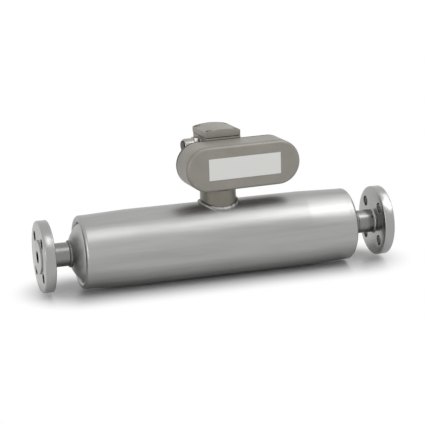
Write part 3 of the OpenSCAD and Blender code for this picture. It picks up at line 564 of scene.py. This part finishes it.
# %% [markdown]
# ## Lid screws
# Four screws stand at the lid's corners, with their heads in counterbores. The height of their seat
# adds up from the box's rim: the gasket and the lid's edge lie on it, and the counterbore goes
# back down.

# %% Lid screws
box_rim_z, gasket_t, lid_edge_h, counterbore = 131.2, 1.0, 6.8, 5.0
seat_z = box_rim_z + gasket_t + lid_edge_h - counterbore
cover_back, half_lid_l = 24.0, 27.5
lid_x, lid_y = 19.8, cover_back + half_lid_l
bm = bmesh.new()
for x in (-19.5, 19.5):
    for y in (-21.5, 21.5):
        spot = Matrix.Translation(((lid_x + x) * MM, (lid_y + y) * MM, seat_z * MM))
        screw(bm, head_r=3.5, head_h=4.0, shank_r=2.0, shank_l=13.8, key=3.0, place=on_stem @ spot)
add_piece("lid_socket_screws", bm, plain_steel, "lid_screws", 35)

# %% [markdown]
# ## Rear cover screws
# Six screws with flatter heads hold the rear casting to the posts inside the can: one at each
# rounded end, and four above and below, where the terminal box leaves room for them.

# %% Rear cover screws
can_mid_z, post_rise = 99.6, 23.6
ends = [(-44.7, can_mid_z), (103.5, can_mid_z)]
above = [(-11.1, can_mid_z + post_rise), (69.9, can_mid_z + post_rise)]
below = [(69.9, can_mid_z - post_rise), (24.7, can_mid_z - post_rise)]
towards_back = Matrix.Rotation(-math.pi / 2, 4, "X")
bm = bmesh.new()
for x, z in ends + above + below:
    spot = Matrix.Translation((x * MM, cover_back * MM, z * MM)) @ towards_back
    screw(bm, head_r=3.8, head_h=2.4, shank_r=2.0, shank_l=19.9, key=2.5, place=on_stem @ spot)
add_piece("cover_socket_screws", bm, plain_steel, "rear_cover_screws", 35)

# %% [markdown]
# ## The studio
# The meter lies on a white lacquered table. Near the meter the table is lit like any surface and
# keeps its shadow. Further out it turns into plain white, as a table does that is lit from below
# up to its edges. The white is shown to the camera and to reflections alone, so it adds no light
# of its own.

# %% Floor
# the table lies a hair below the shell, so the two never share a face
floor_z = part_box("outer_shell")[0].z - 0.5 * MM
bm = bmesh.new()
bmesh.ops.create_grid(bm, x_segments=1, y_segments=1, size=6.0)
bmesh.ops.translate(bm, vec=(0, 0, floor_z), verts=bm.verts)
floor_mesh = bpy.data.meshes.new("studio_floor")
bm.to_mesh(floor_mesh)
bm.free()
floor = bpy.data.objects.new("studio_floor", floor_mesh)
bpy.context.collection.objects.link(floor)
floor_finish, tree, shader, place = start_finish("white lacquered table", **{
    "Base Color": linear("#E2E2E2"), "Roughness": 0.28, "IOR": 1.45})
# distance from a line on the table under the meter: 0 on the line, then growing past its ends
half_line, shadow_starts_to_fade, plain_white_from = 190 * MM, 30 * MM, 95 * MM
centred = add_node(tree, "ShaderNodeVectorMath", {"operation": "SUBTRACT"}, {
    0: place, 1: (meter_middle.x, 0.0, 0.0)})
sides = add_node(tree, "ShaderNodeVectorMath", {"operation": "ABSOLUTE"}, {
    0: centred.outputs["Vector"]})
beyond = add_node(tree, "ShaderNodeVectorMath", {"operation": "SUBTRACT"}, {
    0: sides.outputs["Vector"], 1: (half_line, 0.0, 0.0)})
past = add_node(tree, "ShaderNodeVectorMath", {"operation": "MAXIMUM"}, {
    0: beyond.outputs["Vector"], 1: (0.0, 0.0, 0.0)})
flat = add_node(tree, "ShaderNodeVectorMath", {"operation": "MULTIPLY"}, {
    0: past.outputs["Vector"], 1: (1.0, 1.0, 0.0)})
reach = add_node(tree, "ShaderNodeVectorMath", {"operation": "LENGTH"}, {0: flat.outputs["Vector"]})
far = add_node(tree, "ShaderNodeMapRange", {"interpolation_type": "SMOOTHSTEP"}, {
    "Value": reach.outputs["Value"], "From Min": shadow_starts_to_fade,
    "From Max": plain_white_from})
path = add_node(tree, "ShaderNodeLightPath")
mirrored = add_node(tree, "ShaderNodeMath", {"operation": "MAXIMUM"}, {
    0: path.outputs["Is Camera Ray"], 1: path.outputs["Is Glossy Ray"]})
seen = add_node(tree, "ShaderNodeMath", {"operation": "MAXIMUM"}, {
    0: mirrored.outputs["Value"], 1: path.outputs["Is Transmission Ray"]})
share = add_node(tree, "ShaderNodeMath", {"operation": "MULTIPLY"}, {
    0: far.outputs["Result"], 1: seen.outputs["Value"]})
backdrop = add_node(tree, "ShaderNodeEmission", inputs={
    "Color": linear("#FFFFFF"), "Strength": 1.0})
both = add_node(tree, "ShaderNodeMixShader", inputs={
    "Fac": share.outputs["Value"], 1: shader.outputs["BSDF"], 2: backdrop.outputs["Emission"]})
ground = next(n for n in tree.nodes if n.type == "OUTPUT_MATERIAL")
tree.links.new(both.outputs["Shader"], ground.inputs["Surface"])
floor_mesh.materials.append(floor_finish)
print("floor at z =", round(floor_z, 4))

# %% [markdown]
# ## Light
# Polished tubes show their lamps as long bands, so the lamps are the tube's real drawing. Two
# softboxes hang over the front, one above the inlet and a larger one past the outlet. The gap
# between them gives the band its dimmer middle. A third box behind lights the tops of the
# housing, and a weak one on the left opens the shadows of the near flange. The white room around
# gives the rest.

# %% World and lamps
world = bpy.data.worlds.new("studio")
bpy.context.scene.world = world
world.use_nodes = True
sky = world.node_tree
sky.nodes.clear()
path = add_node(sky, "ShaderNodeLightPath")
mirrored = add_node(sky, "ShaderNodeMath", {"operation": "MAXIMUM"}, {
    0: path.outputs["Is Camera Ray"], 1: path.outputs["Is Glossy Ray"]})
seen = add_node(sky, "ShaderNodeMath", {"operation": "MAXIMUM"}, {
    0: mirrored.outputs["Value"], 1: path.outputs["Is Transmission Ray"]})
# the room looks white, but lights matt surfaces with less than half of that
room_light, room_white = 0.42, 1.0
strength = add_node(sky, "ShaderNodeMapRange", inputs={
    "Value": seen.outputs["Value"], "To Min": room_light, "To Max": room_white})
glow = add_node(sky, "ShaderNodeBackground", inputs={
    "Color": linear("#FFFFFF"), "Strength": strength.outputs["Result"]})
add_node(sky, "ShaderNodeOutputWorld", inputs={"Surface": glow.outputs["Background"]})


def soft_box(name, place, aim, size, watts):
    """A large square lamp that points at a spot."""
    lamp = bpy.data.lights.new(name, "AREA")
    lamp.shape, lamp.size, lamp.size_y, lamp.energy = "RECTANGLE", size[0], size[1], watts
    holder = bpy.data.objects.new(name, lamp)
    bpy.context.collection.objects.link(holder)
    holder.location = place
    holder.rotation_mode = "QUATERNION"
    holder.rotation_quaternion = (Vector(aim) - Vector(place)).to_track_quat("-Z", "Y")


# name, place, size, watts
lamp_plan = [
    ("inlet softbox", (0.27, -0.62, 1.25), (0.36, 0.65), 1.6),
    ("outlet softbox", (1.12, -0.60, 1.25), (0.66, 0.85), 6.2),
    ("rear softbox", (1.15, 0.12, 1.38), (0.6, 0.4), 1.6),
    ("left fill", (-1.6, -1.2, 0.6), (1.0, 1.0), 8.0),
]
for name, spot, size, watts in lamp_plan:
    soft_box(name, spot, meter_middle, size, watts)

# %% [markdown]
# ## Camera
# The camera stands to the left of the inlet and a little above, with a long lens, so the far
# flange looks almost as large as the near one.

# %% Camera
def stand_camera(place, yaw, pitch, roll, focal_mm):
    """Camera at a place, turned to the right by yaw, down by pitch, and rolled, all in degrees."""
    y, p, r = (math.radians(a) for a in (yaw, pitch, roll))
    ahead = Vector((math.sin(y) * math.cos(p), math.cos(y) * math.cos(p), -math.sin(p)))
    side = Vector((math.cos(y), -math.sin(y), 0))
    up = side.cross(ahead)
    turned_side = math.cos(r) * side + math.sin(r) * up
    turned_up = -math.sin(r) * side + math.cos(r) * up
    lens = bpy.data.cameras.new("product camera")
    lens.lens, lens.sensor_width = focal_mm, 36
    lens.clip_start, lens.clip_end = 0.05, 30
    holder = bpy.data.objects.new("product camera", lens)
    bpy.context.collection.objects.link(holder)
    turn = Matrix((turned_side, turned_up, -ahead)).transposed().to_4x4()
    holder.matrix_world = Matrix.Translation(place) @ turn
    return holder


camera = stand_camera(place=(-0.3578, -1.944, 0.5529), yaw=17.11, pitch=14.28, roll=-1.707,
                      focal_mm=132.5)
bpy.context.scene.camera = camera
bpy.context.scene.view_settings.view_transform = "Standard"
print("camera looks along", [round(-v, 3) for v in camera.matrix_world.col[2][:3]])
